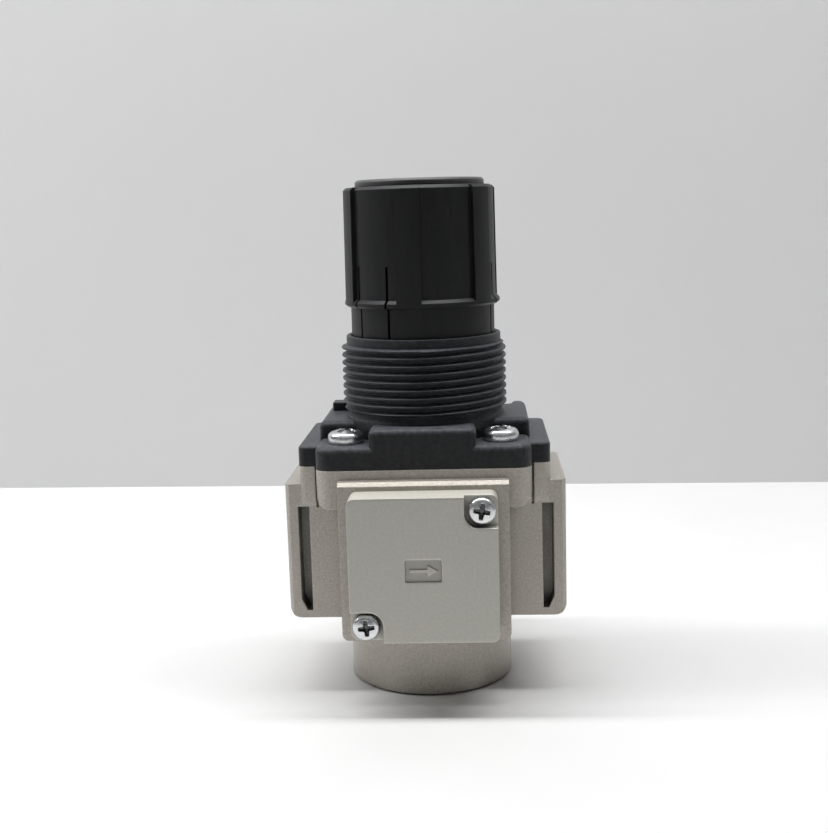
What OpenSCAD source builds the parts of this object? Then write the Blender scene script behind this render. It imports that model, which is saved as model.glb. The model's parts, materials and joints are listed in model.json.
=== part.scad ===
// Modular air pressure regulator with a lockable adjusting knob.
// Units are millimetres. The origin is at the bottom centre on the knob axis.
// +Z points up to the knob and -Y points to the front cover. The air ports lie on X.
// The knob is drawn raised (free to turn), the spring relaxed and the valve closed.

/* [Body] */
// distance between the two port faces
port_span = 53; // [52:0.5:56]
// depth of the port blocks, front to back
port_block_d = 26.6; // [26:0.1:27.4]
// height of the underside of the port blocks
port_block_z = 15.05; // [14.6:0.05:15.5]
// height of the top of the port blocks
port_block_top = 41.4; // [40.5:0.1:42]
// height of the port axis
port_z = 28.4; // [27.5:0.1:29]
// radius of the port bores, the major radius of their threads
port_r = 8.33; // [6.58:0.01:8.4]
// depth of the clamping grooves behind the port faces
groove_d = 3.9; // [3:0.1:4]
// radius of the round base
base_r = 16.05; // [16.05:0.05:16.5]
// height of the seam between body and bonnet
seam_z = 44.8; // [44.6:0.1:46]

/* [Gauge pads and covers] */
// half width of the gauge pads
pad_hx = 15.75; // [15.2:0.05:15.8]
// distance of the pad faces from the knob axis
pad_y = 20.6; // [20:0.1:22]
// width of a cover
cover_w = 27.2; // [26.6:0.1:28]
// height of a cover
cover_h = 26.9; // [26:0.1:27]
// thickness of a cover
cover_t = 6.2; // [5:0.1:7]
// height of the centre of a cover
cover_z = 27.95; // [27.4:0.05:28.2]
// offset of the two cover screws from the cover centre
cover_screw_off = 10.7; // [10.4:0.1:10.9]
// depth of the corner pockets for the cover screws
cover_pocket_d = 1.9; // [1.2:0.1:2.4]

/* [Bonnet] */
// half width of the main block
main_hx = 20.1; // [19.9:0.05:20.4]
// distance of the main block face from the knob axis
main_y = 18.5; // [18.2:0.1:19]
// half width of the side wings of the flange
side_hx = 23.7; // [23:0.1:24]
// height of the top of the side wings
side_top = 48.6; // [47.5:0.1:49]
// height of the floor of the screw pockets
pocket_z = 49.2; // [48.8:0.1:49.6]
// height of the top of the main block
block_top = 52.4; // [52:0.1:52.8]
// radius at the crests of the panel thread
thread_r = 15.88; // [15.8:0.02:16]
// pitch of the panel thread
thread_pitch = 1.5; // [1.25, 1.5]
// height of the lowest crest
thread_z = 54.8; // [54.4:0.1:55]
// number of crests
thread_crests = 8; // [4:1:8]
// radius of the plain collar above the thread
collar_r = 14.85; // [14.8:0.05:15]
// height of the top of the collar
collar_top = 68.33; // [68:0.01:68.5]

/* [Knob] */
// height of the bottom edge of the knob ring
knob_z = 73.9; // [73.8:0.1:74.4]
// radius of the knob ring and of the ribs at the bottom
knob_r = 15; // [14.8:0.01:15.2]
// radius of the ribs at the top
knob_top_r = 14.8; // [14.2:0.01:14.9]
// height of the top of the knob
knob_top = 96.4; // [96:0.1:97]
// depth of the flats between the ribs
flat_d = 0.75; // [0.3:0.05:0.8]
// width of a rib in degrees
rib_deg = 18; // [12:1:24]
// radius of the sleeve below the ring
neck_r = 13.89; // [13.8:0.01:13.9]
// how far the knob is pushed down to lock it
lock_travel = 5.5; // [4:0.1:5.5]
// radius of the cap disc
cap_r = 12.35; // [11:0.05:12.5]
// thickness of the cap disc
cap_t = 1.3; // [1:0.1:1.5]

/* [Inside] */
// pitch of the adjusting screw
screw_pitch = 1.25; // [1, 1.25]
// radius of the adjusting screw
screw_r = 4; // [4:0.01:4.02]
// radius of the wire of the adjusting spring
spring_wire_r = 1.1; // [0.8:0.1:1.1]
// radius of the valve orifice
orifice_r = 4.6; // [3:0.1:4.8]
// radius of the chamber under the diaphragm
chamber_r = 13.6; // [13:0.1:13.6]

/* [Hidden] */
$fn = 64;
eps = 0.01;
port_x = port_span / 2;
block_y = port_block_d / 2;
neck_base = 66;
bore_r = 14.05;
slot_floor = 60.2;
dome_r = 12.45;
dome_groove_r = 12;
dome_top = 75.5;
web_z = 72;
thread_root_r = thread_r - 1;
spring_low = 45.3;
spring_high = 67.9;
nut_top = 70;
recess_r = 16.4;
recess_z = seam_z - 1;
seat_z = 30.5;
valve_closed_z = 26.73;
guide_top = 14.5;
guide_bore_r = 2.56;
rear_hx = 16.9;
rear_block_y = 13.8;
flange_low = 37.3;
centre_hx = 9.9;
pocket_back_y = 8.4;
groove_in = 22;
groove_out = 24.15;
pad_low = 12.85;
pad_top = 42.95;
seal_z = 28;
cover_low = cover_z - cover_h / 2;
cover_top = cover_z + cover_h / 2;
rib_turn = -7.1;
finger_turns = [-39, 86, 204];
finger_deg = 29;
slit_top = 81.7;
bonnet_screw_at = [[14.6, -13], [-14.6, -13], [13.3, 14.4], [-13.3, 14.4]];

// ---- shared shapes ----

// rectangle with rounded corners, drawn flat
module round_rect(x0, x1, y0, y1, r) {
  translate([x0 + r, y0]) square([x1 - x0 - 2 * r, y1 - y0]);
  translate([x0, y0 + r]) square([x1 - x0, y1 - y0 - 2 * r]);
  for (x = [x0 + r, x1 - r]) {
    for (y = [y0 + r, y1 - r]) {
      translate([x, y]) circle(r);
    }
  }
}

// rectangle with only its two lower corners rounded
module tub_rect(hx, z0, z1, r) {
  translate([-hx + r, z0]) square([2 * (hx - r), z1 - z0]);
  translate([-hx, z0 + r]) square([2 * hx, z1 - z0 - r]);
  for (x = [-hx + r, hx - r]) {
    translate([x, z0 + r]) circle(r);
  }
}

// stands an outline drawn in X and Z upright and gives it depth along Y
module upright(y0, y1) {
  translate([0, y1, 0]) rotate([90, 0, 0]) linear_extrude(y1 - y0) children();
}

// ring of rectangular section
module ring(r_out, r_in, z0, z1) {
  translate([0, 0, z0]) difference() {
    cylinder(r = r_out, h = z1 - z0);
    translate([0, 0, -eps]) cylinder(r = r_in, h = z1 - z0 + 2 * eps);
  }
}

// solid of revolution between two heights
module rod(r, z0, z1) {
  translate([0, 0, z0]) cylinder(r = r, h = z1 - z0);
}

// outline of the flange shared by body and bonnet
module flange_plan() {
  round_rect(-main_hx, main_hx, -main_y, rear_block_y, 3);
  round_rect(-rear_hx, rear_hx, 0, main_y, 3);
  round_rect(-side_hx, side_hx, -rear_block_y, rear_block_y, 1.5);
}

// repeats its children for the front and the back of the body
module front_and_back() {
  children();
  rotate([0, 0, 180]) children();
}

// cross shaped driver recess, open upwards at z = 0
module cross_recess(arm, width, depth) {
  for (a = [0, 90]) {
    rotate([0, 0, a]) translate([-arm / 2, -width / 2, -depth]) cube([arm, width, depth + 1]);
  }
}

// pan head screw standing on z = 0 with its shank below
module pan_screw(head_r, head_h, shank_r, shank_l) {
  difference() {
    intersection() {
      cylinder(r = head_r, h = head_h);
      translate([0, 0, head_h - 2.6 * head_r]) sphere(r = 2.6 * head_r);
    }
    translate([0, 0, head_h]) cross_recess(1.15 * head_r, 0.3 * head_r, 0.6 * head_h);
  }
  translate([0, 0, -shank_l]) cylinder(r = shank_r, h = shank_l + eps);
}

// coil spring standing between two heights, one closed turn at each end
module coil_spring(mean_r, wire_r, z0, z1, turns) {
  steps = 24;
  sides = 8;
  rings = turns * steps;
  closed = 2.04 * wire_r;
  pitch = (z1 - z0 - 2 * wire_r - 2 * closed) / (turns - 2);
  points = [for (i = [0:rings])
    let (t = i / steps)
    let (low = min(t, 1), mid = max(0, min(t - 1, turns - 2)), high = max(0, t - turns + 1))
    let (z = z0 + wire_r + closed * (low + high) + pitch * mid)
    for (j = [0:sides - 1])
      let (r = mean_r + wire_r * cos(360 * j / sides))
      [r * cos(360 * t), r * sin(360 * t), z + wire_r * sin(360 * j / sides)]];
  walls = [for (i = [0:rings - 1])
    for (j = [0:sides - 1])
      let (a = i * sides + j, b = i * sides + (j + 1) % sides)
      [a, b, b + sides, a + sides]];
  first = [for (j = [0:sides - 1]) sides - 1 - j];
  last = [for (j = [0:sides - 1]) rings * sides + j];
  polyhedron(points = points, faces = concat([first], walls, [last]));
}

// ---- body ----

// bore of one air port, mouth at x = 0, running along -X
module port_cut() {
  depth = 11.5;
  lead = 0.5;
  rotate([0, -90, 0]) rotate_extrude() polygon([
    [0, -1], [port_r + lead + 1, -1], [port_r + lead, 0], [port_r, lead],
    [port_r, depth], [0, depth + 2.6]]);
}

// vertical groove in the front of one port block, with its slanted foot
module clamp_groove() {
  upright(-block_y - 1, -block_y + groove_d) polygon([
    [groove_in, 37], [groove_out, 37], [groove_out, 18.7],
    [groove_out - 1.05, 16.5], [groove_in + 0.1, 16.5]]);
}

// gauge pads on both faces as one slab with a sloped upper edge
module gauge_pads() {
  edge = 0.75;
  intersection() {
    upright(-pad_y, pad_y) tub_rect(pad_hx, pad_low, pad_top, 1.3);
    rotate([90, 0, 90]) translate([0, 0, -pad_hx]) linear_extrude(2 * pad_hx) polygon([
      [-pad_y, pad_low], [pad_y, pad_low], [pad_y, pad_top - edge],
      [pad_y - edge, pad_top], [edge - pad_y, pad_top], [-pad_y, pad_top - edge]]);
  }
}

// seal groove, gauge recess, passage and screw holes of the front pad
module gauge_cut() {
  translate([0, -pad_y, seal_z]) rotate([90, 0, 0]) {
    ring(9.2, 7.2, -1.75, 1);
    rod(5.5, -4, 1);
    translate([0, 4.3, 0]) rod(1.1, -9, 0);
  }
  for (s = [-1, 1]) {
    translate([s * cover_screw_off, -pad_y, cover_z + s * cover_screw_off])
      rotate([90, 0, 0]) rod(1.5, -4, 1);
  }
}

module body() {
  bevel = 0.7;
  color([0.56, 0.54, 0.5]) difference() {
    union() {
      rod(base_r - 0.4, 0, 0.4 + eps);
      rod(base_r, 0.4, 18);
      intersection() {
        upright(-block_y, block_y) tub_rect(port_x, port_block_z, port_block_top, 2.2);
        linear_extrude(60) polygon([
          [-port_x, bevel - block_y], [bevel - port_x, -block_y],
          [port_x - bevel, -block_y], [port_x, bevel - block_y],
          [port_x, block_y - bevel], [port_x - bevel, block_y],
          [bevel - port_x, block_y], [-port_x, block_y - bevel]]);
      }
      gauge_pads();
      intersection() {
        translate([0, 0, flange_low]) linear_extrude(seam_z - flange_low) flange_plan();
        union() {
          upright(-main_y - 1, main_y + 1) tub_rect(main_hx, 37.5, 60, 2.6);
          rotate([90, 0, 90]) translate([0, 0, -side_hx]) linear_extrude(2 * side_hx) polygon([
            [-rear_block_y, flange_low + 1], [0.5 - rear_block_y, flange_low],
            [rear_block_y - 0.5, flange_low], [rear_block_y, flange_low + 1],
            [rear_block_y, 60], [-rear_block_y, 60]]);
        }
      }
    }
    front_and_back() {
      clamp_groove();
      mirror([1, 0, 0]) clamp_groove();
      gauge_cut();
    }
    translate([port_x, 0, port_z]) port_cut();
    mirror([1, 0, 0]) translate([port_x, 0, port_z]) port_cut();
    translate([-9, 0, 24.2]) rotate([0, -90, 0]) rod(2.9, 0, 7);
    translate([9, 0, 33.5]) rotate([0, 90, 0]) rod(2.2, 0, 7);
    rod(12, -1, 14);
    rod(11, 13.9, 27.5);
    rod(7, 27, seat_z + eps);
    rod(chamber_r, seat_z, seam_z);
    rod(recess_r, recess_z, seam_z + 1);
    for (p = bonnet_screw_at) {
      translate([p[0], p[1], 0]) rod(2, 38.3, seam_z + 1);
    }
    for (x = [-main_hx - 0.45, main_hx]) {
      translate([x, -rear_block_y - 1, flange_low - 0.4]) cube([0.45, 1.9, 9]);
    }
  }
}

// blank cover over the front gauge pad
module cover() {
  pocket_x = cover_w / 2 - 6.05;
  pocket_h = 5.75;
  front = -pad_y - cover_t;
  color([0.6, 0.59, 0.55]) difference() {
    upright(front, -pad_y)
      round_rect(-cover_w / 2, cover_w / 2, cover_low, cover_top, 1.4);
    upright(front - 1, front + cover_pocket_d) {
      round_rect(pocket_x, cover_w, cover_top - pocket_h, cover_top + 6, 2.6);
      round_rect(-cover_w, -pocket_x, cover_low - 6, cover_low + pocket_h, 2.6);
    }
    upright(front - 1, front + 0.4) round_rect(-3.3, 3.3, cover_z - 2.1, cover_z + 2.1, 0.4);
    for (s = [-1, 1]) {
      translate([s * cover_screw_off, front - 1, cover_z + s * cover_screw_off])
        rotate([-90, 0, 0]) rod(1.6, 0, cover_t + 2);
    }
  }
}

// the two screws of the front cover
module cover_screws() {
  color([0.78, 0.78, 0.76]) for (s = [-1, 1]) {
    translate([s * cover_screw_off, -pad_y - cover_t + cover_pocket_d, cover_z + s * cover_screw_off])
      rotate([90, 0, 0]) pan_screw(2.3, 1.8, 1.45, 8);
  }
}

// ring seal between the front pad and its cover
module cover_seal() {
  color([0.1, 0.1, 0.1]) translate([0, -pad_y + 0.87, seal_z]) rotate([90, 0, 0])
    rotate_extrude() translate([8.2, 0]) circle(0.85, $fn = 24);
}

module front_cover() {
  cover();
}

module front_cover_screws() {
  cover_screws();
}

module front_cover_seal() {
  cover_seal();
}

module rear_cover() {
  rotate([0, 0, 180]) cover();
}

module rear_cover_screws() {
  rotate([0, 0, 180]) cover_screws();
}

module rear_cover_seal() {
  rotate([0, 0, 180]) cover_seal();
}

// ---- bonnet ----

// outside of the threaded tube, from the flange to the collar
module thread_tube() {
  crest = 0.17;
  slope = 0.5;
  teeth = [for (i = [0:thread_crests - 1])
    for (p = [[thread_root_r, -slope], [thread_r, -crest], [thread_r, crest], [thread_root_r, slope]])
      [p[0], thread_z + i * thread_pitch + p[1]]];
  rotate_extrude() polygon(concat(
    [[0, 46], [thread_root_r, 46]],
    teeth,
    [[thread_root_r, 66.3], [collar_r, 66.5], [collar_r, collar_top - 0.3],
     [collar_r - 0.3, collar_top], [0, collar_top]]));
}

module bonnet() {
  ribs = 12;
  color([0.17, 0.17, 0.18]) difference() {
    union() {
      difference() {
        union() {
          translate([0, 0, seam_z]) linear_extrude(side_top - seam_z) flange_plan();
          translate([0, 0, seam_z]) linear_extrude(pocket_z - seam_z) {
            round_rect(-main_hx, main_hx, -main_y, rear_block_y, 3);
            round_rect(-rear_hx, rear_hx, 0, main_y, 3);
          }
          translate([0, 0, seam_z]) linear_extrude(block_top - seam_z) {
            round_rect(-main_hx, main_hx, -pocket_back_y, rear_block_y, 3);
            translate([-main_hx, -pocket_back_y]) square([2 * main_hx, 6]);
            round_rect(-centre_hx, centre_hx, -main_y, main_y, 0.8);
          }
          translate([-18.9, 4.5, block_top - 1]) cube([6, 3.6, 2.75]);
        }
        for (s = [-1, 1]) {
          translate([s * 13.4, main_y - 7.9 + 6, pocket_z]) linear_extrude(6)
            round_rect(-3.6, 3.6, -6.3, 8, 1.2);
        }
      }
      thread_tube();
    }
    rod(bore_r, slot_floor, collar_top + 1);
    rod(12.2, seam_z - 1, 47.2);
    rod(10.75, 47, slot_floor + 1);
    for (p = bonnet_screw_at) {
      translate([p[0], p[1], 0]) rod(2.2, seam_z - 1, pocket_z + 1);
    }
    for (a = [0, 180]) {
      rotate([0, 0, a]) translate([10, -2.1, 50]) cube([1.3, 4.2, 12]);
    }
    translate([0, 10, 46.4]) rotate([-90, 0, 0]) rod(0.9, 0, 12);
  }
  color([0.17, 0.17, 0.18]) difference() {
    union() {
      rod(dome_groove_r, slot_floor - 1, 68.05);
      rod(dome_r, 68.05, 68.6);
      rod(dome_groove_r, 68.6, 73.4);
      rod(dome_r, 73.4, dome_top);
    }
    rod(10.75, slot_floor - 2, web_z);
    rod(4.1, web_z - 1, dome_top + 1);
    for (a = [0, 180]) {
      rotate([0, 0, a]) translate([10, -2.1, slot_floor - 2]) cube([1.3, 4.2, web_z - slot_floor + 2]);
    }
  }
  color([0.17, 0.17, 0.18]) intersection() {
    ring(bore_r + 0.3, 13, slot_floor - 0.3, 62.2);
    for (i = [0:ribs - 1]) {
      rotate([0, 0, i * 360 / ribs]) translate([12.5, -0.55, slot_floor - 1]) cube([2, 1.1, 4]);
    }
  }
}

module bonnet_screws() {
  color([0.78, 0.78, 0.76]) for (p = bonnet_screw_at) {
    translate([p[0], p[1], pocket_z]) pan_screw(3.3, 2.6, 1.95, 10.7);
  }
}

module indicator_ring() {
  color([0.5, 0.13, 0.08]) ring(dome_r, dome_groove_r + 0.02, 68.65, 73.35);
}

// ---- knob ----

// thin radial blade that cuts one slit of the spring fingers
module slit(turn) {
  rotate([0, 0, turn - 90]) translate([11, -0.25, neck_base - 1]) cube([6, 0.5, slit_top - neck_base + 1]);
}

module knob() {
  skin_z = knob_z + 1.4;
  color([0.11, 0.11, 0.11]) difference() {
    union() {
      rod(neck_r, neck_base, knob_z + 1);
      rotate_extrude() polygon([
        [0, knob_z], [knob_r - 0.5, knob_z], [knob_r, knob_z + 0.4], [knob_r, skin_z - 0.4],
        [knob_r - 0.6, skin_z + 0.2], [knob_r - flat_d, skin_z + 0.2], [knob_top_r - flat_d, knob_top - 0.6],
        [knob_top_r - flat_d - 0.6, knob_top], [0, knob_top]]);
      intersection() {
        rotate_extrude() polygon([
          [0, knob_z + 0.4], [knob_r, knob_z + 0.4], [knob_top_r, knob_top - 0.6],
          [knob_top_r - 0.5, knob_top - 0.1], [0, knob_top - 0.1]]);
        for (i = [0:5]) {
          rotate([0, 0, i * 60 + rib_turn - 90]) linear_extrude(100) polygon([
            [0, 0], [20, -20 * tan(rib_deg / 2)], [20, 20 * tan(rib_deg / 2)]]);
        }
      }
    }
    rod(12.75, 68, 94);
    for (a = finger_turns) {
      slit(a - finger_deg / 2);
      slit(a + finger_deg / 2);
    }
    rod(12.1, neck_base - 1, 69);
    rod(12.75, neck_base - 1, 67);
    difference() {
      rod(12.75, 66, 68.1);
      for (a = finger_turns) {
        rotate([0, 0, a - 90]) linear_extrude(90) polygon([
          [0, 0], [20, -20 * tan(finger_deg / 2)], [20, 20 * tan(finger_deg / 2)]]);
      }
    }
    for (i = [0:11]) {
      rotate([0, 0, i * 30]) translate([12.2, -0.8, neck_base - 1]) cube([3, 1.6, 3.1]);
    }
    rod(3.5, 90, 100);
  }
  color([0.11, 0.11, 0.11]) difference() {
    rod(6.5, 82, 94.5);
    rod(3.5, 81, 95);
    translate([0, 0, 81]) cylinder(r = screw_r + 0.1, h = 13, $fn = 6);
  }
}

module knob_cap() {
  color([0.15, 0.15, 0.16]) {
    rod(cap_r, knob_top, knob_top + cap_t - 0.4);
    translate([0, 0, knob_top + cap_t - 0.4]) cylinder(r1 = cap_r, r2 = cap_r - 0.4, h = 0.4);
    rod(3.44, 94.2, knob_top + eps);
  }
}

// ---- adjusting drive ----

module adjusting_screw() {
  crests = 15;
  turns = [for (i = [0:crests - 1])
    for (p = [[screw_r - 0.6, -0.5], [screw_r, -0.1], [screw_r, 0.1], [screw_r - 0.6, 0.5]])
      [p[0], 51.5 + i * screw_pitch + p[1]]];
  color([0.72, 0.72, 0.7]) {
    rotate_extrude() polygon(concat(
      [[0, 50.3], [screw_r - 0.6, 50.3]],
      turns,
      [[screw_r - 0.6, 70.3], [6.8, 70.3], [6.8, 71.1], [4.04, 71.1], [4.04, 75.55],
       [3.3, 75.55], [3.3, 76.6], [0, 76.6]]));
    translate([0, 0, 76.35]) cylinder(r = screw_r, h = 11.65, $fn = 6);
  }
}

module thrust_washer() {
  color([0.66, 0.56, 0.34]) ring(7.5, 4.2, 71.15, 71.95);
}

module retaining_clip() {
  color([0.5, 0.5, 0.52]) difference() {
    ring(6.3, 3.34, 75.62, 76.3);
    translate([0, -1.4, 75]) cube([8, 2.8, 2]);
  }
}

module adjusting_nut() {
  color([0.72, 0.6, 0.32]) difference() {
    union() {
      rod(10.55, spring_high, nut_top);
      rod(6.5, 62, spring_high + eps);
      translate([-11.15, -2, spring_high]) cube([22.3, 4, nut_top - spring_high]);
    }
    rod(screw_r + 0.08, 61, nut_top + 1);
  }
}

module adjusting_spring() {
  color([0.6, 0.6, 0.62]) coil_spring(8.8, spring_wire_r, spring_low, spring_high, 5.5);
}

// ---- diaphragm and valve ----

module diaphragm() {
  color([0.08, 0.08, 0.08]) rotate_extrude() polygon([
    [3.2, 42.42], [11.6, 42.42], [13.2, 43.85], [16.3, 43.85],
    [16.3, 44.78], [12.7, 44.78], [11.3, 43.28], [3.2, 43.28]]);
}

module diaphragm_plate() {
  color([0.7, 0.7, 0.68]) difference() {
    union() {
      rod(11, 43.3, spring_low);
      rod(7.5, spring_low, 46.8);
    }
    rod(3.06, 43, 47);
  }
}

module relief_seat() {
  color([0.72, 0.6, 0.32]) difference() {
    union() {
      rod(9, 40.9, 42.4);
      rod(3, 42.4 - eps, 47.3);
    }
    rod(0.9, 40, 48);
  }
}

module valve_seat() {
  color([0.72, 0.6, 0.32]) difference() {
    union() {
      rod(6.98, 27.6, seat_z);
      rod(5.5, valve_closed_z + 0.02, 27.6 + eps);
    }
    rod(orifice_r, 26, 31);
  }
}

module valve_poppet() {
  color([0.75, 0.75, 0.7]) {
    rod(2.5, 8, 22.7 + eps);
    rod(6.6, 22.7, 25.2);
    rod(2.4, 25.2 - eps, 26.6);
    rod(1.5, 26.6 - eps, 39.4);
    translate([0, 0, 39.38]) sphere(r = 1.5, $fn = 32);
  }
}

module valve_seal() {
  color([0.08, 0.08, 0.08]) ring(6.2, 2.45, 25.22, valve_closed_z);
}

module valve_spring() {
  color([0.6, 0.6, 0.62]) coil_spring(4.1, 0.45, guide_top, 22.68, 5);
}

module valve_guide() {
  color([0.2, 0.2, 0.21]) difference() {
    union() {
      rod(11.9, 1, 12.5);
      rod(5.5, 12.4, guide_top);
    }
    ring(13, 10.3, 9, 11);
    rod(guide_bore_r, 6.4, guide_top + 1);
    rod(4.24, 10, 11.65);
    translate([0, 0, 0]) cylinder(r = 5, h = 4.5, $fn = 6);
  }
}

module valve_guide_oring() {
  color([0.08, 0.08, 0.08]) rotate_extrude() translate([11.13, 10]) circle(0.8, $fn = 24);
}

module valve_stem_oring() {
  color([0.08, 0.08, 0.08]) rotate_extrude() translate([3.37, 10.82]) circle(0.79, $fn = 24);
}

body();
bonnet();
bonnet_screws();
front_cover();
front_cover_screws();
front_cover_seal();
rear_cover();
rear_cover_screws();
rear_cover_seal();
knob();
knob_cap();
indicator_ring();
adjusting_screw();
thrust_washer();
retaining_clip();
adjusting_nut();
adjusting_spring();
diaphragm();
diaphragm_plate();
relief_seat();
valve_seat();
valve_poppet();
valve_seal();
valve_spring();
valve_guide();
valve_guide_oring();
valve_stem_oring();
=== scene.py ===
"""Looks of the air pressure regulator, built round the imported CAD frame.

Blender objects are in metres, +Z up, with the front cover towards -Y. Meshes are worked out in
millimetres and scaled once, in piece().
"""

import json
import math

import bmesh
import bpy
from mathutils import Matrix, Vector
from mathutils.geometry import tessellate_polygon


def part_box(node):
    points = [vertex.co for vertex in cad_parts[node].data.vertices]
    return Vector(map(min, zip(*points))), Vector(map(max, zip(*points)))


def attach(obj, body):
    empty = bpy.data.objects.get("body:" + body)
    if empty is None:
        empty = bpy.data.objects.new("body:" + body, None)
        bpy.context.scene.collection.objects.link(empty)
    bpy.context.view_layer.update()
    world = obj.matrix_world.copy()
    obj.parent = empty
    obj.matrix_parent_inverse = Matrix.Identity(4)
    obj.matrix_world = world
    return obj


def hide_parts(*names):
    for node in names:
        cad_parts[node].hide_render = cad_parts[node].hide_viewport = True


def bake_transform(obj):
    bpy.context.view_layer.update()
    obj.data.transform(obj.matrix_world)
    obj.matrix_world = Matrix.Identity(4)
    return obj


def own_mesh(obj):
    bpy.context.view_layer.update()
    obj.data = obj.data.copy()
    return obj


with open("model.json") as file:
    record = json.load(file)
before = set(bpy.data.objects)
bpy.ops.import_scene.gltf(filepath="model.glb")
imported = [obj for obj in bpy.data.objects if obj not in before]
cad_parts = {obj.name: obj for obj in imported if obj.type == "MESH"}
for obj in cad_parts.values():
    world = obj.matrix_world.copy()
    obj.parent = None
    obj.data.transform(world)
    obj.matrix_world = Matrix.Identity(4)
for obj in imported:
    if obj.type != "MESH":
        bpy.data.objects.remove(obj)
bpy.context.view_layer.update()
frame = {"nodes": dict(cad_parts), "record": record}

MM = 0.001
TAU = 2 * math.pi
NODES = frame["nodes"]
SLOT_OF = {row["node"]: row["material_slot"] for row in frame["record"]["subparts"]}
MOUNTS = {row["name"]: row for row in frame["record"]["mounts"]}


def box_mm(name):
    """Lowest and highest corner of a CAD node in millimetres."""
    low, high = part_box(name)
    return low / MM, high / MM


# ---------------------------------------------------------------- material tools

SPECK_TINT = (0.16, 0.16, 0.16, 1)
# noise level from which specks fade in, openness up to which painted crevice shade shows, cosine of the bend
# at an edge for the painted edge highlight
SPECK_RANGE = (0.66, 0.74)
AO_RANGE = (0.1, 0.65)
BEND_RANGE = (0.75, 1.0)
COAT_ROUGHNESS = 0.3
SHEEN_ROUGHNESS = 0.5
GRAIN_DEPTH = 0.1 * MM


def node(tree, kind, **inputs):
    """Adds a node and sets its attributes or inputs by name."""
    made = tree.nodes.new(kind)
    for key, value in inputs.items():
        if key in made.inputs:
            made.inputs[key].default_value = value
        else:
            setattr(made, key, value)
    return made


def noise(tree, coords, scale, detail, stretch):
    """Noise texture in object space, scale in features per metre."""
    mapping = node(tree, "ShaderNodeMapping", Scale=stretch)
    tree.links.new(coords, mapping.inputs["Vector"])
    tex = node(tree, "ShaderNodeTexNoise", Scale=scale, Detail=detail)
    tree.links.new(mapping.outputs["Vector"], tex.inputs["Vector"])
    return tex.outputs["Fac"]


def ramp(tree, source, low, high, at=(0.3, 0.7)):
    """Maps a 0 to 1 value to a colour between two colours."""
    made = node(tree, "ShaderNodeValToRGB")
    for stop, place, colour in zip(made.color_ramp.elements, at, (low, high)):
        stop.position = place
        stop.color = (*colour, 1)
    tree.links.new(source, made.inputs["Fac"])
    return made.outputs["Color"]


def spread(tree, source, low, high, first=0.0, last=1.0):
    """Maps a value running from first to last to a number between low and high."""
    made = node(tree, "ShaderNodeMapRange")
    made.inputs["From Min"].default_value = first
    made.inputs["From Max"].default_value = last
    made.inputs["To Min"].default_value = low
    made.inputs["To Max"].default_value = high
    tree.links.new(source, made.inputs["Value"])
    return made.outputs["Result"]


def scaled(tree, colour, factor):
    """Multiplies a colour by a number."""
    made = node(tree, "ShaderNodeVectorMath", operation="SCALE")
    tree.links.new(colour, made.inputs[0])
    tree.links.new(factor, made.inputs["Scale"])
    return made.outputs["Vector"]


def mesh_normal(tree):
    """Normal of the mesh before bumps and rounded edges."""
    return node(tree, "ShaderNodeNewGeometry").outputs["Normal"]


def with_specks(tree, colour, dots, share):
    """Adds light specks where a noise is high."""
    made = node(tree, "ShaderNodeMixRGB", blend_type="ADD", Color2=SPECK_TINT)
    tree.links.new(spread(tree, dots, 0.0, share, *SPECK_RANGE), made.inputs["Fac"])
    tree.links.new(colour, made.inputs["Color1"])
    return made.outputs["Color"]


def with_crevice_shade(tree, colour, crevice_shade, reach):
    """Paints shade into crevices: darkens the colour where another surface stands within reach."""
    near = node(tree, "ShaderNodeAmbientOcclusion", samples=8, Distance=reach * MM)
    return scaled(tree, colour, spread(tree, near.outputs["AO"], 1 - crevice_shade, 1.0, *AO_RANGE))


def with_edge_highlight(tree, colour, eased, rim):
    """Paints a highlight on rounded edges: lightens the colour where the eased normal leaves the mesh normal.
    """
    bend = node(tree, "ShaderNodeVectorMath", operation="DOT_PRODUCT")
    tree.links.new(eased, bend.inputs[0])
    tree.links.new(mesh_normal(tree), bend.inputs[1])
    return scaled(tree, colour, spread(tree, bend.outputs["Value"], 1 + rim, 1.0, *BEND_RANGE))


def with_top_light(tree, colour, top_light):
    """Paints light on faces that look up: lightens the colour the more a face looks up."""
    facing = node(tree, "ShaderNodeSeparateXYZ")
    tree.links.new(mesh_normal(tree), facing.inputs["Vector"])
    return scaled(tree, colour, spread(tree, facing.outputs["Z"], 1.0, 1 + top_light))


def with_recess_shade(tree, colour, recess_shade):
    """Paints shade into recesses: darkens the colour by the depth stored at the points of a mesh."""
    depth = node(tree, "ShaderNodeAttribute", attribute_name="recess_shade")
    return scaled(tree, colour, spread(tree, depth.outputs["Fac"], 1.0, 1 - recess_shade))


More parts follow.
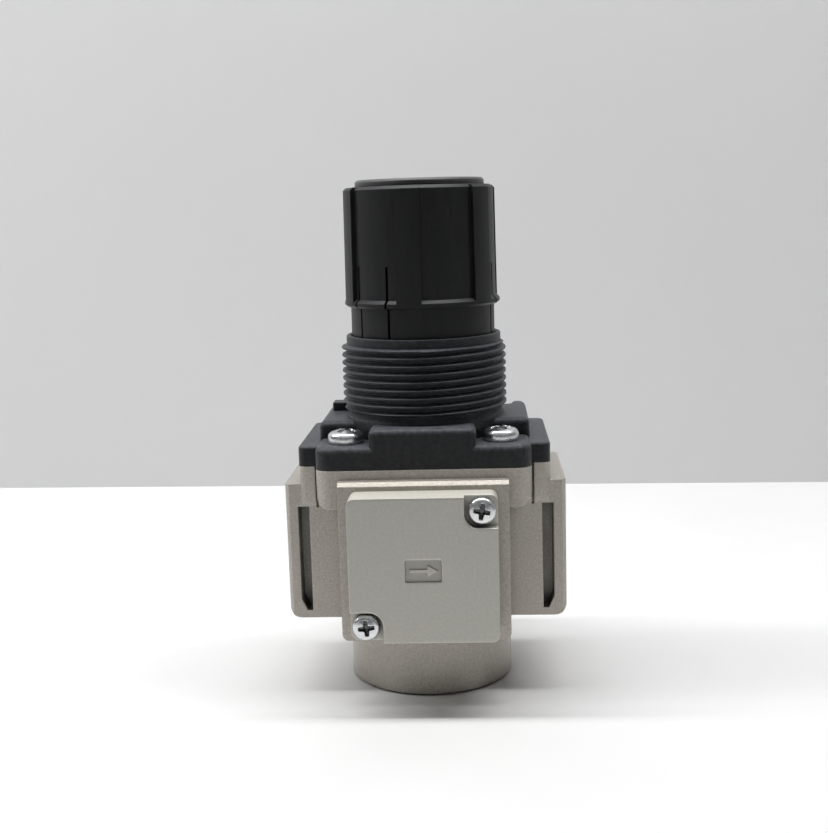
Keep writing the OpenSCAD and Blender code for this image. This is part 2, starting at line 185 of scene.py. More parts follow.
def surface(name, low, high, rough, metallic=0.0, mottle=400, grain=3000, bump=0.02,
            stretch=(1, 1, 1), coat=0.0, specular=0.5, sheen=0.0, speck=0.0, crevice_shade=0.0, reach=4.5,
            edge=0.0, rim=0.0, top_light=0.0, recess_shade=0.0):
    """Procedural finish: colour mottled between low and high, uneven roughness and grain in relief.

    Mottle and grain are in features per metre. Reach, and edge, the radius of the rounded edges, are
    in millimetres. Speck sets light specks in the grain. The other strengths paint light and shade:
    shade in crevices within reach, rim a highlight on the rounded edges, light on faces that look up,
    and shade in screw recesses.
    """
    mat = bpy.data.materials.new(name)
    mat.use_nodes = True
    tree = mat.node_tree
    shader = tree.nodes["Principled BSDF"]
    coords = node(tree, "ShaderNodeTexCoord").outputs["Object"]
    blotch = noise(tree, coords, mottle, 4.0, stretch)
    relief = node(tree, "ShaderNodeBump", Strength=bump, Distance=GRAIN_DEPTH)
    tree.links.new(noise(tree, coords, grain, 3.0, stretch), relief.inputs["Height"])
    colour = ramp(tree, blotch, low, high)
    if speck:
        colour = with_specks(tree, colour, noise(tree, coords, grain * 0.9, 1.0, stretch), speck)
    # painted shade in crevices, where another surface stands close
    if crevice_shade:
        colour = with_crevice_shade(tree, colour, crevice_shade, reach)
    if edge:
        eased = node(tree, "ShaderNodeBevel", samples=6, Radius=edge * MM).outputs["Normal"]
        # painted highlight along the rounded edges
        colour = with_edge_highlight(tree, colour, eased, rim)
        tree.links.new(eased, relief.inputs["Normal"])
        tree.links.new(eased, shader.inputs["Coat Normal"])
    # painted light on faces that look up
    if top_light:
        colour = with_top_light(tree, colour, top_light)
    # painted shade in screw recesses, by the depth stored at each point
    if recess_shade:
        colour = with_recess_shade(tree, colour, recess_shade)
    tree.links.new(colour, shader.inputs["Base Color"])
    tree.links.new(spread(tree, blotch, *rough), shader.inputs["Roughness"])
    tree.links.new(relief.outputs["Normal"], shader.inputs["Normal"])
    shader.inputs["Metallic"].default_value = metallic
    shader.inputs["Specular IOR Level"].default_value = specular
    shader.inputs["Coat Weight"].default_value = coat
    shader.inputs["Coat Roughness"].default_value = COAT_ROUGHNESS
    shader.inputs["Sheen Weight"].default_value = sheen
    shader.inputs["Sheen Roughness"].default_value = SHEEN_ROUGHNESS
    return mat


# ---------------------------------------------------------------- materials

# Most finishes also paint light and shade into their colour: shade in crevices and screw recesses, highlights
# on rounded edges and light on faces that look up.
FINISHES = {
    # painted metal: the cast body, the covers, and the recess and arrow on each cover
    "body_paint": dict(
        low=(0.35, 0.322, 0.282), high=(0.475, 0.441, 0.388), rough=(0.38, 0.5), metallic=0.5,
        mottle=2400, grain=3600, bump=1.0, coat=0.6, speck=0.4, crevice_shade=0.7, edge=0.4, rim=0.15, top_light=0.1),
    "cover_paint": dict(
        low=(0.475, 0.461, 0.413), high=(0.535, 0.519, 0.468), rough=(0.34, 0.46), metallic=0.25,
        mottle=1900, grain=4200, bump=0.35, coat=0.5, crevice_shade=0.85, reach=3, edge=0.55, rim=0.4, top_light=0.55),
    "mark_paint": dict(
        low=(0.38, 0.367, 0.33), high=(0.41, 0.397, 0.36), rough=(0.4, 0.5), metallic=0.25,
        mottle=600, grain=5200, bump=0.2, coat=0.3, crevice_shade=0.6, reach=0.8, edge=0.1),
    "arrow_paint": dict(
        low=(0.49, 0.476, 0.428), high=(0.53, 0.514, 0.465), rough=(0.36, 0.44), metallic=0.25,
        mottle=600, grain=5200, bump=0.2, coat=0.5, edge=0.1, top_light=0.4),
    # moulded plastic and rubber
    "bonnet_plastic": dict(
        low=(0.007, 0.008, 0.010), high=(0.018, 0.019, 0.021), rough=(0.42, 0.56),
        mottle=1100, grain=2800, bump=0.5, specular=0.28, sheen=0.06, speck=0.05, crevice_shade=0.4, top_light=4.0),
    "knob_plastic": dict(
        low=(0.0050, 0.0054, 0.0062), high=(0.0085, 0.0088, 0.0096), rough=(0.4, 0.5), mottle=500,
        grain=2200, bump=0.2, stretch=(1, 1, 0.25), specular=0.3, speck=0.03, crevice_shade=0.4, edge=0.12, top_light=2.5),
    "cap_plastic": dict(
        low=(0.062, 0.062, 0.063), high=(0.074, 0.074, 0.075), rough=(0.35, 0.45),
        mottle=500, grain=2500, bump=0.3, edge=0.4, top_light=0.2),
    "indicator_red": dict(low=(0.20, 0.018, 0.010), high=(0.26, 0.026, 0.014), rough=(0.35, 0.45)),
    "seal_rubber": dict(low=(0.008, 0.008, 0.008), high=(0.014, 0.014, 0.014), rough=(0.55, 0.7)),
    # bare metal
    "screw_zinc": dict(
        low=(0.60, 0.61, 0.62), high=(0.76, 0.77, 0.77), rough=(0.2, 0.36), metallic=1.0,
        mottle=1100, grain=5000, bump=0.1, crevice_shade=0.9, reach=0.9, recess_shade=0.85),
    "spindle_steel": dict(
        low=(0.42, 0.42, 0.41), high=(0.52, 0.52, 0.51), rough=(0.22, 0.35), metallic=1.0),
    "spring_steel": dict(
        low=(0.30, 0.30, 0.31), high=(0.40, 0.40, 0.41), rough=(0.25, 0.4), metallic=1.0),
    "thread_metal": dict(
        low=(0.50, 0.49, 0.47), high=(0.62, 0.61, 0.59), rough=(0.25, 0.4), metallic=1.0, bump=0.1),
    "brass": dict(
        low=(0.60, 0.42, 0.15), high=(0.72, 0.52, 0.20), rough=(0.22, 0.35), metallic=1.0),
    "plate_aluminium": dict(
        low=(0.55, 0.55, 0.54), high=(0.64, 0.64, 0.63), rough=(0.28, 0.4), metallic=1.0),
    # stage
    "table_white": dict(
        low=(0.80, 0.80, 0.80), high=(0.82, 0.82, 0.82), rough=(0.5, 0.6), mottle=30, grain=900, bump=0.03),
    "wall_grey": dict(
        low=(0.745, 0.745, 0.75), high=(0.76, 0.76, 0.765), rough=(0.8, 0.9), mottle=8, grain=400, bump=0.05),
}
MATS = {name: surface(name, **finish) for name, finish in FINISHES.items()}


# ---------------------------------------------------------------- CAD nodes that stay

SPLIT_ANGLE = math.radians(30)
WELD_DISTANCE = 0.002 * MM


def even_normals(obj):
    """Evens out the shading of large faces and keeps the sharp edges."""
    norm = obj.modifiers.new("norm", "WEIGHTED_NORMAL")
    norm.keep_sharp = True


def split_edges(obj):
    """Joins the facets of a CAD node and keeps its edges crisp, with modifiers only."""
    weld = obj.modifiers.new("weld", "WELD")
    weld.merge_threshold = WELD_DISTANCE
    split = obj.modifiers.new("split", "EDGE_SPLIT")
    split.split_angle = SPLIT_ANGLE
    even_normals(obj)


def squash_spring(name):
    """Gives a spring's CAD node a mesh of its own, not shared with other objects."""
    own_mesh(NODES[name])


for name, obj in NODES.items():
    obj.data.materials.clear()
    obj.data.materials.append(MATS[SLOT_OF[name]])
    for poly in obj.data.polygons:
        poly.use_smooth = True
for name in ("body", "front_cover", "rear_cover", "knob", "knob_cap"):
    split_edges(NODES[name])
squash_spring("adjusting_spring")
squash_spring("valve_spring")


# ---------------------------------------------------------------- mesh tools, all in millimetres

CORNER_STEPS = 6
RIM_STEPS = 4
HOLE_STEPS = 64
THREAD_STEPS = 120


def piece(name, body, finish, shell, replaces=(), turn=None, sharp=40, recess_shading=()):
    """A mesh object from a shell, riding on one CAD body unless that is None.

    Turn is a matrix in metres, sharp an angle in degrees, and the recess shading a depth from 0 to 1 per
    point, which sets how much shade is painted there.
    """
    mesh = bpy.data.meshes.new(name)
    mesh.from_pydata([tuple(c * MM for c in v) for v in shell.verts], [], shell.faces)
    # per-point share of the shade painted into recesses, read by the material
    if recess_shading:
        mesh.attributes.new("recess_shade", "FLOAT", "POINT").data.foreach_set("value", recess_shading)
    mesh.validate()
    work = bmesh.new()
    work.from_mesh(mesh)
    bmesh.ops.remove_doubles(work, verts=work.verts, dist=WELD_DISTANCE)
    bmesh.ops.dissolve_degenerate(work, dist=WELD_DISTANCE / 2, edges=work.edges)
    bmesh.ops.recalc_face_normals(work, faces=work.faces)
    if turn is not None:
        bmesh.ops.transform(work, matrix=turn, verts=work.verts)
    work.to_mesh(mesh)
    work.free()
    for poly in mesh.polygons:
        poly.use_smooth = True
    mesh.set_sharp_from_angle(angle=math.radians(sharp))
    mesh.materials.append(MATS[finish])
    obj = bpy.data.objects.new(name, mesh)
    bpy.context.scene.collection.objects.link(obj)
    even_normals(obj)
    if body:
        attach(obj, body)
    if replaces:
        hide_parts(*replaces)
    return obj


def ring(radius, height, steps):
    """Points of a circle about the Z axis."""
    return [(radius * math.cos(TAU * i / steps), radius * math.sin(TAU * i / steps), height)
            for i in range(steps)]


def smooth(t):
    """Eased step from 0 to 1."""
    t = min(1.0, max(0.0, t))
    return t * t * (3 - 2 * t)


class Shell:
    """Collects the points and faces of one piece."""

    def __init__(self):
        self.verts, self.faces = [], []

    def add(self, verts, faces):
        """Adds points, and faces that number those points from 0."""
        first = len(self.verts)
        self.verts += verts
        self.faces += [tuple(first + i for i in face) for face in faces]

    def add_shell(self, other, place):
        """Adds another shell with each point moved by a function."""
        self.add([tuple(place(Vector(p))) for p in other.verts], other.faces)

    def grid(self, rows, closed=False):
        """Joins rows of equal length, each a closed loop, with quads."""
        count, width = len(rows), len(rows[0])
        faces = []
        for i in range(count if closed else count - 1):
            here, above = i * width, (i + 1) % count * width
            faces += [(here + j, here + (j + 1) % width, above + (j + 1) % width, above + j)
                      for j in range(width)]
        self.add([p for row in rows for p in row], faces)

    def cap(self, loops):
        """Fills the plane area between an outer loop and any holes."""
        self.add([p for loop in loops for p in loop],
                 tessellate_polygon([[Vector(p) for p in loop] for loop in loops]))

    def lathe(self, profile, steps, closed=False):
        """Profile of radius and height turned about the Z axis."""
        self.grid([ring(r, z, steps) for r, z in profile], closed)

    def prism(self, outline, z0, z1, top, hole=0.0):
        """Upright prism with its upper rim rounded and an optional round hole on the Z axis."""
        turns = [math.pi / 2 * i / RIM_STEPS for i in range(RIM_STEPS + 1)] if top else [0.0]
        levels = [(0.0, z0)]
        levels += [(top * (1 - math.cos(turn)), z1 - top * (1 - math.sin(turn))) for turn in turns]
        rows = [[(x, y, z) for x, y in inset(outline, depth)] for depth, z in levels]
        self.grid(rows)
        holes = [ring(hole, z, HOLE_STEPS) for z in (z0, z1)]
        for end, opening in zip((rows[0], rows[-1]), holes):
            self.cap([end, opening] if hole else [end])
        if hole:
            self.grid(holes)


def inset(outline, depth):
    """Moves a closed counter-clockwise outline inwards by a small depth."""
    moved = []
    for i, (x, y) in enumerate(outline):
        ax, ay = outline[i - 1]
        bx, by = outline[(i + 1) % len(outline)]
        first = Vector((x - ax, y - ay)).normalized()
        second = Vector((bx - x, by - y)).normalized()
        normal = Vector((-first.y - second.y, first.x + second.x)).normalized()
        share = max(0.4, normal.dot(Vector((-first.y, first.x))))
        moved.append((x + normal.x * depth / share, y + normal.y * depth / share))
    return moved


def rounded(corners):
    """Closed outline with an arc at each corner; a corner is x, y and radius."""
    outline = []
    for i, (x, y, r) in enumerate(corners):
        corner = Vector((x, y))
        before = (Vector(corners[i - 1][:2]) - corner).normalized()
        after = (Vector(corners[(i + 1) % len(corners)][:2]) - corner).normalized()
        half = before.angle(after) / 2
        run = r / math.tan(half)
        centre = corner + (before + after).normalized() * r / math.sin(half)
        start = corner + before * run - centre
        sweep = start.angle_signed(corner + after * run - centre)
        for k in range(CORNER_STEPS + 1):
            spoke = start.copy()
            spoke.rotate(Matrix.Rotation(-sweep * k / CORNER_STEPS, 2))
            outline.append((centre.x + spoke.x, centre.y + spoke.y))
    return outline


def box_outline(x0, x1, y0, y1, r):
    """Counter-clockwise rounded rectangle."""
    return rounded([(x0, y0, r), (x1, y0, r), (x1, y1, r), (x0, y1, r)])


def mirrored(right_half):
    """Outline from the corners of its right half, listed from front to rear."""
    return rounded(right_half + [(-x, y, r) for x, y, r in reversed(right_half)])


# ---------------------------------------------------------------- threads

# share of half a pitch, out from the crest, at which the flank of a thread starts and ends
FLANK_START, FLANK_END = 0.18, 0.86


def thread_height(turns):
    """Height of a truncated thread, 0 at the root and 1 at the crest, over one pitch."""
    off_crest = abs(turns - math.floor(turns) - 0.5) * 2
    return smooth((FLANK_END - off_crest) / (FLANK_END - FLANK_START))


def thread_sheet(shell, root, crest, z0, z1, pitch, crest_z, runout, rows_per_turn):
    """Right-hand helical sheet between two heights; a crest passes the +X side at crest_z.

    Runout is the height over which the thread fades in at z0 and out at z1.
    """
    first = crest_z - pitch * (math.ceil((crest_z - z0) / pitch) + 1.5)
    count = int(math.ceil((z1 - first) / pitch + 1)) * rows_per_turn
    verts = []
    for j in range(THREAD_STEPS + 1):
        angle, rise = TAU * j / THREAD_STEPS, pitch * j / THREAD_STEPS
        for k in range(count):
            z = min(max(first + rise + pitch * k / rows_per_turn, z0), z1)
            share = smooth((z - z0) / runout[0]) * smooth((z1 - z) / runout[1])
            r = root + (crest - root) * thread_height(k / rows_per_turn) * share
            verts.append((r * math.cos(angle), r * math.sin(angle), z))
    shell.add(verts, [(j * count + k, (j + 1) * count + k, (j + 1) * count + k + 1, j * count + k + 1)
                      for j in range(THREAD_STEPS) for k in range(count - 1)])


# ---------------------------------------------------------------- bonnet

bonnet_low, bonnet_high = box_mm("bonnet")
band_low, band_high = box_mm("indicator_ring")
# flange, side wings, raised blocks, screw pockets and lug
SEAM_Z, WING_TOP, POCKET_Z, BLOCK_TOP = bonnet_low.z, 48.6, 49.2, 52.4
WING_X, MAIN_X, REAR_X = bonnet_high.x, 20.1, 16.9
MAIN_Y, WING_Y = bonnet_high.y, 13.8
FRONT_BLOCK_X, REAR_BLOCK_X, REAR_POCKET_X = 9.9, 9.8, 17
FRONT_POCKET_Y, REAR_POCKET_Y = 8.4, 10.3
BLOCK_PROUD = 0.02
LUG_X0, LUG_X1, LUG_Y0, LUG_Y1 = -18.9, -12.9, 4.5, 8.1
FLANGE_BORE = 12.2
# threaded tube and its collar
TUBE_R, CREST_R, PITCH, THREAD_FOOT, CREST_Z = 15.08, 15.98, 1.5, 53.9, 54.72
COLLAR_R, COLLAR_IN, COLLAR_Z, COLLAR_TOP = 15.0, 14.05, 66.6, 68.33
# dome inside the tube, with the seat of the coloured band, and the locking teeth on the floor round it
DOME_TOP, DOME_R, DOME_IN, CEILING, GAP_FLOOR = bonnet_high.z, 12, 10.75, 72, 60.2
SPINDLE_BORE, BAND_R, BAND_PLAY = 4.1, 12.45, 0.05
TOOTH_COUNT, TOOTH_IN, TOOTH_OUT, TOOTH_HALF = 12, 13.0, 14.2, 0.55


def bonnet_blocks(shell):
    """Flange with its wings, the raised blocks that leave four screw pockets, and the lug."""
    shell.prism(box_outline(-WING_X, WING_X, -WING_Y, WING_Y, 1.5), SEAM_Z, WING_TOP, top=0.5,
                hole=FLANGE_BORE)
    shell.prism(mirrored([
        (MAIN_X, -MAIN_Y, 3), (MAIN_X, WING_Y, 2), (REAR_X, WING_Y, 0.6), (REAR_X, MAIN_Y, 3)]),
        SEAM_Z, POCKET_Z, top=1.3, hole=FLANGE_BORE)
    x, y = MAIN_X + BLOCK_PROUD, MAIN_Y + BLOCK_PROUD
    shell.prism(mirrored([
        (FRONT_BLOCK_X, -y, 1.25), (FRONT_BLOCK_X, -FRONT_POCKET_Y, 0.7), (x, -FRONT_POCKET_Y, 1.25),
        (x, WING_Y, 1.6), (REAR_POCKET_X, WING_Y, 1.25), (REAR_POCKET_X, REAR_POCKET_Y, 1.2),
        (REAR_BLOCK_X, REAR_POCKET_Y, 1.2), (REAR_BLOCK_X, y, 1.25)]),
        SEAM_Z + 0.3, BLOCK_TOP, top=1.2, hole=FLANGE_BORE)
    shell.prism(box_outline(LUG_X0, LUG_X1, LUG_Y0, LUG_Y1, 0.4), BLOCK_TOP - 0.6, BLOCK_TOP + 1.75,
                top=0.35)


def bonnet_tube(shell):
    """Threaded tube with its collar, and the dome inside it."""
    thread_sheet(shell, TUBE_R, CREST_R, THREAD_FOOT, COLLAR_Z, PITCH, CREST_Z, runout=(0.5, 0.3),
                 rows_per_turn=12)
    seat_low, seat_high = band_low.z - BAND_PLAY, band_high.z + BAND_PLAY
    collar = [(TUBE_R, COLLAR_Z), (COLLAR_R, COLLAR_Z), (COLLAR_R, COLLAR_TOP - 0.33),
              (COLLAR_R - 0.1, COLLAR_TOP - 0.09), (COLLAR_R - 0.33, COLLAR_TOP),
              (COLLAR_IN + 0.2, COLLAR_TOP), (COLLAR_IN, COLLAR_TOP - 0.18), (COLLAR_IN, GAP_FLOOR)]
    dome = [(DOME_R, GAP_FLOOR), (DOME_R, seat_low - 0.55), (BAND_R, seat_low - 0.55),
            (BAND_R, seat_low), (DOME_R, seat_low), (DOME_R, seat_high), (BAND_R, seat_high),
            (BAND_R, DOME_TOP - 0.2), (BAND_R - 0.2, DOME_TOP), (SPINDLE_BORE, DOME_TOP)]
    inside = [(SPINDLE_BORE, CEILING), (DOME_IN, CEILING), (DOME_IN, SEAM_Z + 2.4),
              (FLANGE_BORE, SEAM_Z + 2.4), (FLANGE_BORE, SEAM_Z)]
    foot = [(TUBE_R, SEAM_Z), (TUBE_R + 0.55, BLOCK_TOP - 0.3), (TUBE_R + 0.2, BLOCK_TOP + 0.35),
            (TUBE_R, BLOCK_TOP + 0.9), (TUBE_R, THREAD_FOOT)]
    shell.lathe(collar + dome + inside + foot, THREAD_STEPS)


def bonnet_teeth(shell):
    """Ring of teeth on the floor between collar and dome."""
    tooth = Shell()
    tooth.prism(box_outline(TOOTH_IN, TOOTH_OUT, -TOOTH_HALF, TOOTH_HALF, 0.15),
                GAP_FLOOR - 0.2, GAP_FLOOR + 2, top=0.25)
    for index in range(TOOTH_COUNT):
        turn = Matrix.Rotation(TAU * index / TOOTH_COUNT, 3, "Z")
        shell.add_shell(tooth, lambda p: turn @ p)


bonnet = Shell()
bonnet_blocks(bonnet)
bonnet_tube(bonnet)
bonnet_teeth(bonnet)
piece("bonnet_moulding", "housing", "bonnet_plastic", bonnet, ["bonnet"])


# ---------------------------------------------------------------- screws

HEAD_STEPS = 96
# width of the sloped walls beside and at the end of a recess arm
WALL_RUN, END_RUN = 0.14, 0.22
FACING = Matrix.Rotation(math.pi / 2, 3, "X")
BACKWARD = Matrix.Rotation(math.pi, 3, "Z") @ FACING
UPRIGHT = Matrix.Identity(3)


def recess_depth(x, y, reach, width, depth):
    """Depth of a cross recess at a point of the head: a round hub and two tapered, sloping arms."""
    hub = 0.4 * reach
    deepest = depth * smooth((hub - math.hypot(x, y)) / (hub / 2) + 0.5)
    for along, across in ((abs(x), abs(y)), (abs(y), abs(x))):
        half = width * (1 - 0.3 * along / reach) / 2
        mask = smooth((half - across) / WALL_RUN + 0.5) * smooth((reach - along) / END_RUN)
        deepest = max(deepest, depth * (1 - 0.5 * along / reach) * mask)
    return deepest


def pan_screw(head_r, head_h, shank_r, shank_l, turn):
    """Cross recessed pan head screw standing on z = 0, and how deep the recess is at each point, which sets
    the shade painted there.
    """
    crown, edge = 0.16 * head_h, 0.42 * head_h
    reach, width, depth = 0.62 * head_r, 0.34 * head_r, 0.62 * head_h
    flat, rim, marked = head_r - edge, head_h - crown, 1.08 * reach
    radii = [marked * i / 20 for i in range(21)]
    radii += [marked + (flat - marked) * i / 3 for i in (1, 2, 3)]
    rows, recess_shading = [], []
    for r in radii:
        row = []
        for i in range(HEAD_STEPS):
            a = TAU * i / HEAD_STEPS
            sunk = recess_depth(r * math.cos(a - turn), r * math.sin(a - turn), reach, width, depth)
            row.append((r * math.cos(a), r * math.sin(a), head_h - crown * (r / flat) ** 2 - sunk))
            # share of the painted recess shade at this point
            recess_shading.append(min(1.0, 2.2 * sunk / depth))
        rows.append(row)
    profile = [(flat + edge * math.sin(t), rim - edge + edge * math.cos(t))
               for t in (0.25, 0.5, 0.75, 1.0, 1.25, math.pi / 2)]
    profile += [(head_r, 0.12 * head_h), (head_r - 0.1, 0.0), (shank_r + 0.1, 0.0), (shank_r, -0.2),
                (shank_r, 0.6 - shank_l), (0.6 * shank_r, -shank_l), (0.0, -shank_l)]
    rows += [ring(r, z, HEAD_STEPS) for r, z in profile]
    shell = Shell()
    shell.grid(rows)
    return shell, recess_shading + [0.0] * (len(shell.verts) - len(recess_shading))


def screw_set(name, replaced, spots, sizes, stand):
    """One piece for a group of equal screws; a spot is a point and the turn of its recess."""
    group, recess_shading = Shell(), []
    for at, turn in spots:
        one, depths = pan_screw(*sizes, turn)
        group.add_shell(one, lambda p: Vector(at) + stand @ p)
        recess_shading += depths
    piece(name, "housing", "screw_zinc", group, [replaced], sharp=50, recess_shading=recess_shading)


cover_low, cover_high = box_mm("front_cover")
COVER_FACE, COVER_Z = -cover_low.y, (cover_low.z + cover_high.z) / 2
# from the cover's centre to each screw, and from its face down to the head's seat
SCREW_OFF, SEAT_DEPTH = 10.7, 1.9
SEAT_Y, HIGH_Z, LOW_Z = COVER_FACE - SEAT_DEPTH, COVER_Z + SCREW_OFF, COVER_Z - SCREW_OFF
# x and y of the bonnet screws in the front and in the rear pockets
FRONT_X, FRONT_Y, BACK_X, BACK_Y = 14.6, -13, 13.3, 14.4
# head radius, head height, shank radius and shank length
COVER_SCREW = (2.5, 1.8, 1.45, 8.0)
BONNET_SCREW = (3.3, 2.6, 1.95, 10.7)

screw_set("front_cover_pan_screws", "front_cover_screws", [
    ((SCREW_OFF, -SEAT_Y, HIGH_Z), -0.17), ((-SCREW_OFF, -SEAT_Y, LOW_Z), 0.12)], COVER_SCREW, FACING)
screw_set("rear_cover_pan_screws", "rear_cover_screws", [
    ((-SCREW_OFF, SEAT_Y, HIGH_Z), 0.4), ((SCREW_OFF, SEAT_Y, LOW_Z), 0.9)], COVER_SCREW, BACKWARD)
screw_set("bonnet_pan_screws", "bonnet_screws", [
    ((FRONT_X, FRONT_Y, POCKET_Z), 0.35), ((-FRONT_X, FRONT_Y, POCKET_Z), -0.5),
    ((BACK_X, BACK_Y, POCKET_Z), 0.1), ((-BACK_X, BACK_Y, POCKET_Z), 0.8)], BONNET_SCREW, UPRIGHT)


# ---------------------------------------------------------------- port threads

PORT_MAJOR, PORT_MINOR, PORT_PITCH = 8.3, 7.5, 1.337
PORT_INNER, PORT_OUTER, PORT_CREST, PORT_WALL = 15.3, 25.95, 25.3, 0.3

for name, side in (("inlet_thread", -1), ("outlet_thread", 1)):
    ridges = Shell()
    thread_sheet(ridges, PORT_MAJOR, PORT_MINOR, PORT_INNER, PORT_OUTER, PORT_PITCH, PORT_CREST,
                 runout=(0.6, 0.4), rows_per_turn=10)
    ridges.lathe([(PORT_MAJOR, PORT_OUTER), (PORT_MAJOR + PORT_WALL, PORT_OUTER),
                  (PORT_MAJOR + PORT_WALL, PORT_INNER), (PORT_MAJOR, PORT_INNER)], THREAD_STEPS)
    axis_height = Matrix.Translation((0, 0, MOUNTS["outlet_port"]["pos_m"][2]))
    piece(name, "housing", "thread_metal", ridges,
          turn=axis_height @ Matrix.Rotation(side * math.pi / 2, 4, "Y"))


# ---------------------------------------------------------------- flow arrow in the cover recess

FIELD_X, FIELD_Y, RECESS = 3.28, 2.08, 0.4
TAIL_X, NECK_X, TIP_X, SHAFT_Y, BARB_Y = -2.5, 0.7, 2.6, 0.32, 1.15
MIRROR_X = Matrix.Scale(-1, 3, (1, 0, 0))

field, arrow = Shell(), Shell()
field.prism(box_outline(-FIELD_X, FIELD_X, -FIELD_Y, FIELD_Y, 0.38), -0.1, 0.03, top=0)
arrow.prism([(TAIL_X, -SHAFT_Y), (NECK_X, -SHAFT_Y), (NECK_X, -BARB_Y), (TIP_X, 0), (NECK_X, BARB_Y),
             (NECK_X, SHAFT_Y), (TAIL_X, SHAFT_Y)], -0.1, 0.3, top=0.1)
for name, stand, side in (("front", FACING, -1), ("rear", BACKWARD @ MIRROR_X, 1)):
    floor = Vector((0, side * (COVER_FACE - RECESS), COVER_Z))
    for part, shape, finish in (("mark_field", field, "mark_paint"), ("flow_arrow", arrow, "arrow_paint")):
        placed = Shell()
        placed.add_shell(shape, lambda p: floor + stand @ p)
        piece(f"{name}_{part}", "housing", finish, placed)


# ---------------------------------------------------------------- diaphragm

web_low, web_high = box_mm("diaphragm")
WEB_BORE, WEB_RIM, WEB_STEPS = 3.2, web_high.x, 96
INNER_TOP, CLAMP_LOW, BEND_FROM = 43.28, 43.85, 43.9

web = Shell()
web.lathe([
    (WEB_BORE, web_low.z), (11.2, web_low.z), (11.75, 42.55), (12.1, 42.85), (12.6, 43.5), (13.0, 43.78),
    (13.4, CLAMP_LOW), (WEB_RIM, CLAMP_LOW), (WEB_RIM, web_high.z), (13.3, web_high.z), (12.75, 44.68),
    (12.3, 44.4), (11.75, 43.65), (11.45, 43.36), (11.0, INNER_TOP), (WEB_BORE, INNER_TOP)],
    WEB_STEPS, closed=True)
diaphragm = piece("rolling_diaphragm", None, "seal_rubber", web, ["diaphragm"])
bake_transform(diaphragm)


# ---------------------------------------------------------------- stage, in metres

TABLE_HALF, WALL_TOP = 0.9, 1.0
WALL_Y, WALL_SLOPE = 0.1672, -0.0466
STRIP_AT, STRIP_SIZE, STRIP_POWER = (-0.40, -0.02, 0.65), (1.76, 0.07), 9.1
AMBIENT, OUTSIDE = (0.03, 0.03, 0.03, 1), (0.6, 0.6, 0.61, 1)
ROOM_LOW, ROOM_HIGH = (0.045, 0.045, 0.046), (0.5, 0.51, 0.53)


def stage_quad(name, corners, finish):
    """One flat face of the stage."""
    mesh = bpy.data.meshes.new(name)
    mesh.from_pydata(corners, [], [(0, 1, 2, 3)])
    mesh.materials.append(MATS[finish])
    obj = bpy.data.objects.new(name, mesh)
    bpy.context.scene.collection.objects.link(obj)


def see_through_back(mat):
    """Makes a material clear when it is seen from behind."""
    tree = mat.node_tree
    mix = node(tree, "ShaderNodeMixShader")
    tree.links.new(node(tree, "ShaderNodeNewGeometry").outputs["Backfacing"], mix.inputs[0])
    tree.links.new(tree.nodes["Principled BSDF"].outputs["BSDF"], mix.inputs[1])
    tree.links.new(node(tree, "ShaderNodeBsdfTransparent").outputs["BSDF"], mix.inputs[2])
    tree.links.new(mix.outputs["Shader"], tree.nodes["Material Output"].inputs["Surface"])


def ceiling_strip():
    """Long soft light above the object, facing straight down."""
    data = bpy.data.lights.new("ceiling_strip", "AREA")
    data.shape = "RECTANGLE"
    data.size, data.size_y = STRIP_SIZE
    data.energy = STRIP_POWER
    obj = bpy.data.objects.new("ceiling_strip", data)
    obj.location = STRIP_AT
    bpy.context.scene.collection.objects.link(obj)


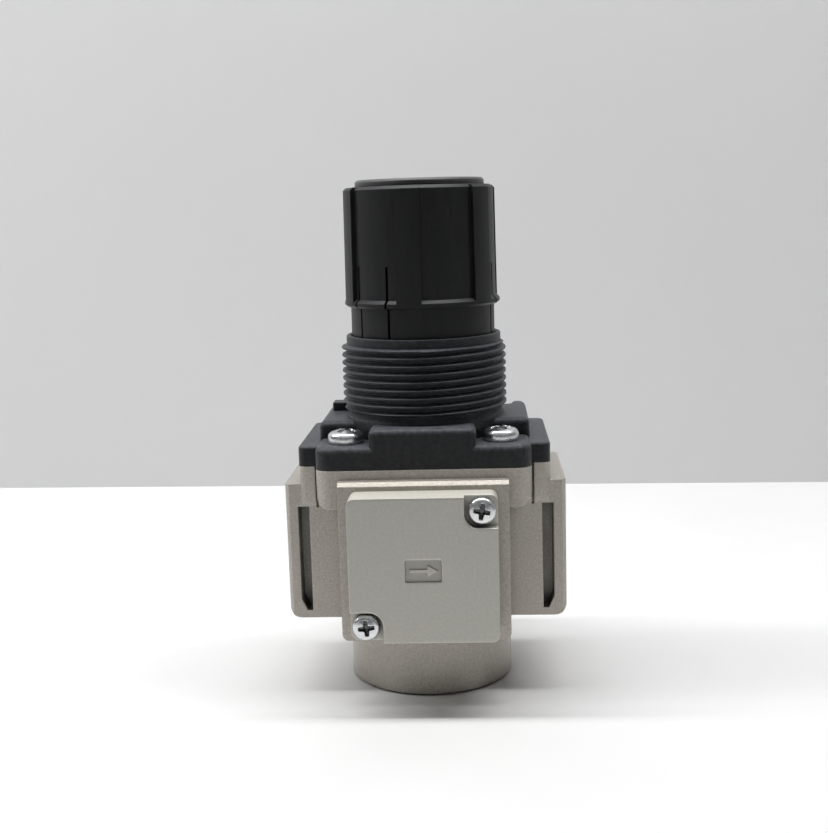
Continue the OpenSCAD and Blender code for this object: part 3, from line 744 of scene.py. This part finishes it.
def studio_world():
    """Dim even light, a gradient for reflections, and plain grey where the camera looks past the wall."""
    world = bpy.data.worlds.new("studio")
    world.use_nodes = True
    tree = world.node_tree
    path = node(tree, "ShaderNodeLightPath")
    heading = node(tree, "ShaderNodeSeparateXYZ")
    tree.links.new(node(tree, "ShaderNodeTexCoord").outputs["Generated"], heading.inputs["Vector"])
    lit = node(tree, "ShaderNodeMixRGB", Color1=AMBIENT)
    tree.links.new(path.outputs["Is Glossy Ray"], lit.inputs["Fac"])
    tree.links.new(ramp(tree, heading.outputs["Z"], ROOM_LOW, ROOM_HIGH, (0.05, 0.7)), lit.inputs["Color2"])
    shown = node(tree, "ShaderNodeMixRGB", Color2=OUTSIDE)
    tree.links.new(path.outputs["Is Camera Ray"], shown.inputs["Fac"])
    tree.links.new(lit.outputs["Color"], shown.inputs["Color1"])
    tree.links.new(shown.outputs["Color"], tree.nodes["Background"].inputs["Color"])
    bpy.context.scene.world = world


see_through_back(MATS["wall_grey"])
stage_quad("table", [(x * TABLE_HALF, y * TABLE_HALF, 0)
                     for x, y in ((-1, -1), (1, -1), (1, 1), (-1, 1))], "table_white")
stage_quad("backdrop", [(x * TABLE_HALF, WALL_Y + WALL_SLOPE * x * TABLE_HALF, z)
                        for x, z in ((-1, 0), (1, 0), (1, WALL_TOP), (-1, WALL_TOP))], "wall_grey")
ceiling_strip()
studio_world()
bpy.context.scene.view_settings.view_transform = "Standard"


# ---------------------------------------------------------------- camera

# solved from the photograph: position in metres, then yaw, downward pitch and roll in radians
CAM_AT = (0.01071, -0.23991, 0.09192)
CAM_YAW, CAM_PITCH, CAM_ROLL = -0.0542, 0.1660, -0.0295
SENSOR, FOCAL_SHARE, CLIP_START = 36, 1.480072, 0.01


def photo_camera():
    """Camera at the photograph's place and angle."""
    forward = Vector((math.sin(CAM_YAW) * math.cos(CAM_PITCH), math.cos(CAM_YAW) * math.cos(CAM_PITCH),
                      -math.sin(CAM_PITCH)))
    right = Vector((math.cos(CAM_YAW), -math.sin(CAM_YAW), 0))
    up = right.cross(forward)
    rolled_right = right * math.cos(CAM_ROLL) + up * math.sin(CAM_ROLL)
    rolled_up = up * math.cos(CAM_ROLL) - right * math.sin(CAM_ROLL)
    turn = Matrix((rolled_right, rolled_up, -forward)).transposed().to_4x4()
    data = bpy.data.cameras.new("camera")
    data.sensor_width = SENSOR
    data.lens = SENSOR * FOCAL_SHARE
    data.clip_start = CLIP_START
    obj = bpy.data.objects.new("camera", data)
    obj.matrix_world = Matrix.Translation(CAM_AT) @ turn
    bpy.context.scene.collection.objects.link(obj)
    return obj


bpy.context.scene.camera = photo_camera()
